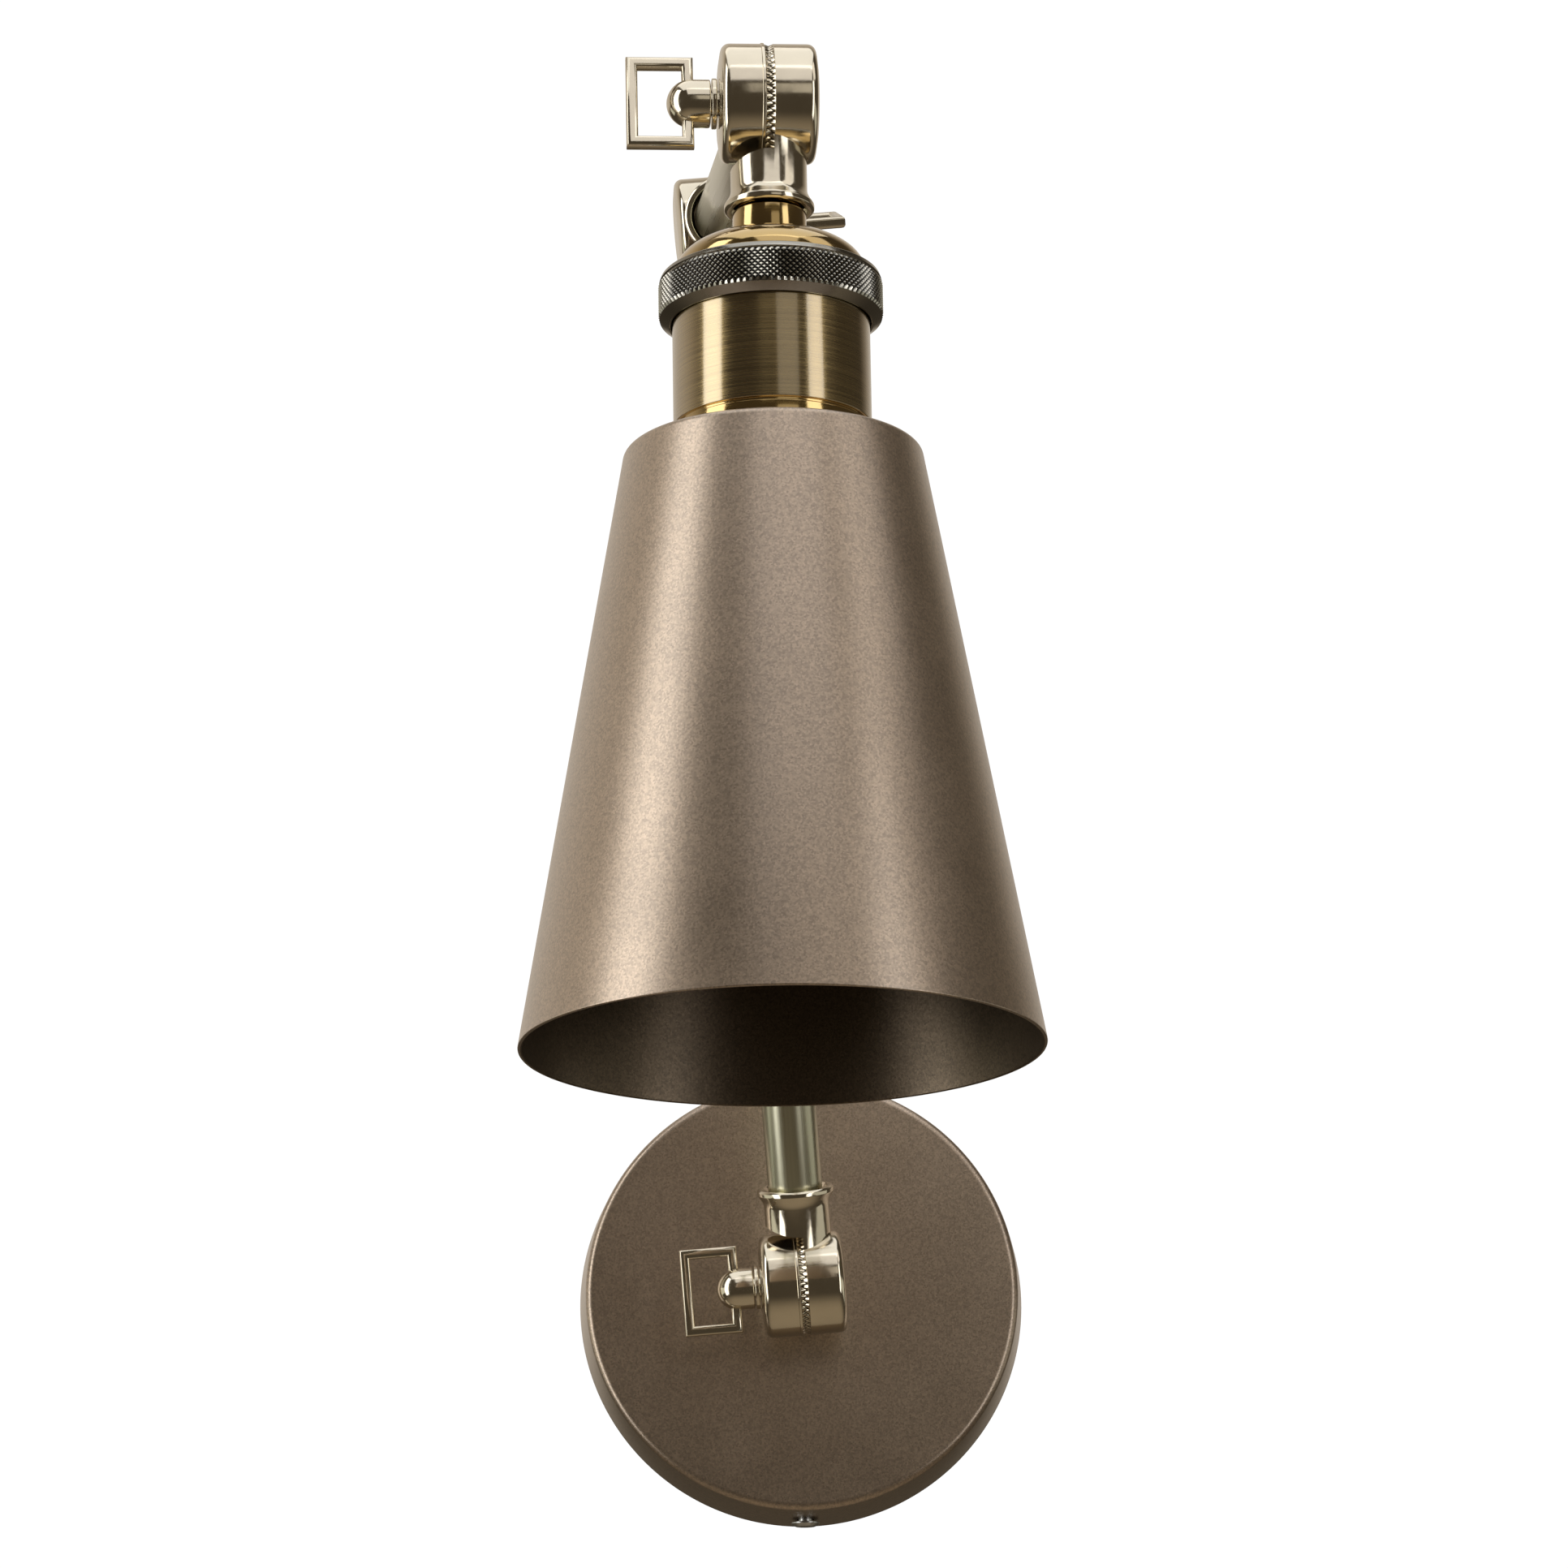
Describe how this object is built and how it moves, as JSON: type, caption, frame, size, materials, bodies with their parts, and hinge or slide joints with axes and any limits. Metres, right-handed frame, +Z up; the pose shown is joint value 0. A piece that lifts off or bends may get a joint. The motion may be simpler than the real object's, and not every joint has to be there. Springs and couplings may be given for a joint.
{
  "type": "picture light",
  "caption": "Wall-mounted swing-arm picture light: round plate, two tube arms on clamp knuckles with thumb keys, knurled lampholder and a long conical metal shade.",
  "frame": {"origin": "centre of the mounting strap's rear face, which lies on the wall", "axes": "+Y into the wall (the wall face's outward normal from the part), -Y out into the room, +Z up, +X to the right for a person who faces the wall"},
  "size_m": [0.1132, 0.3662, 0.3073],
  "materials": {
    "bronze_paint": "satin",
    "champagne_plate": "polished",
    "pale_brass": "satin",
    "antique_brass": "satin",
    "dark_brass": "satin",
    "zinc_steel": "satin",
    "porcelain": "gloss",
    "copper": "satin",
    "nylon": "matte",
    "lead_black": "matte"
  },
  "bodies": {
    "wall": {"mounting_strap": "zinc_steel", "backplate": "bronze_paint", "plate_screw_top": "zinc_steel", "plate_screw_bottom": "zinc_steel", "stem_nipple": "zinc_steel", "stem_washer": "zinc_steel", "stem_locknut": "zinc_steel", "terminal_block": "nylon", "earth_screw": "zinc_steel", "wall_knuckle_base_half": "champagne_plate"},
    "lower_arm": {"wall_knuckle_arm_half": "champagne_plate", "lower_arm_tube": "pale_brass", "lower_arm_lead": "lead_black", "elbow_lower_half": "champagne_plate"},
    "wall_key": {"wall_clamp_key": "champagne_plate", "wall_key_washer": "champagne_plate"},
    "upper_arm": {"elbow_upper_half": "champagne_plate", "upper_arm_tube": "pale_brass", "upper_arm_lead": "lead_black", "head_knuckle_arm_half": "champagne_plate"},
    "elbow_key": {"elbow_clamp_key": "champagne_plate", "elbow_key_washer": "champagne_plate"},
    "head": {"head_knuckle_lamp_half": "champagne_plate", "lamp_nipple": "antique_brass", "holder_cap": "antique_brass", "knurled_ring": "dark_brass", "holder_shell": "antique_brass", "shade_ring": "dark_brass", "head_lead": "lead_black", "holder_insert": "porcelain", "lamp_screw_shell": "pale_brass", "centre_contact": "copper", "line_terminal_screw": "zinc_steel", "neutral_terminal_screw": "zinc_steel", "shade": "bronze_paint"},
    "head_key": {"head_clamp_key": "champagne_plate", "head_key_washer": "champagne_plate"}
  },
  "joints": [
    {"name": "wall_knuckle", "type": "hinge", "parent": "wall", "child": "lower_arm", "pos_m": [0, -0.0403, 0], "axis": [0.9977, 0, 0.068], "range_deg": [-22.5, 75]},
    {"name": "elbow_knuckle", "type": "hinge", "parent": "lower_arm", "child": "upper_arm", "pos_m": [-0.0163, -0.11817, 0.23911], "axis": [0.996, 0.0382, 0.0803], "range_deg": [-75, 15]},
    {"name": "head_knuckle", "type": "hinge", "parent": "upper_arm", "child": "head", "pos_m": [-0.00666, -0.30268, 0.20718], "axis": [-0.9986, -0.0532, 0.0056], "range_deg": [-22.5, 165]},
    {"name": "wall_key_turn", "type": "hinge", "parent": "lower_arm", "child": "wall_key", "pos_m": [0, -0.0403, 0], "axis": [0.9977, 0, 0.068], "range_deg": [0, 270]},
    {"name": "elbow_key_turn", "type": "hinge", "parent": "upper_arm", "child": "elbow_key", "pos_m": [-0.0163, -0.11817, 0.23911], "axis": [-0.996, -0.0382, -0.0803], "range_deg": [0, 270]},
    {"name": "head_key_turn", "type": "hinge", "parent": "head", "child": "head_key", "pos_m": [-0.00666, -0.30268, 0.20718], "axis": [0.9986, 0.0532, -0.0056], "range_deg": [0, 270]}
  ]
}
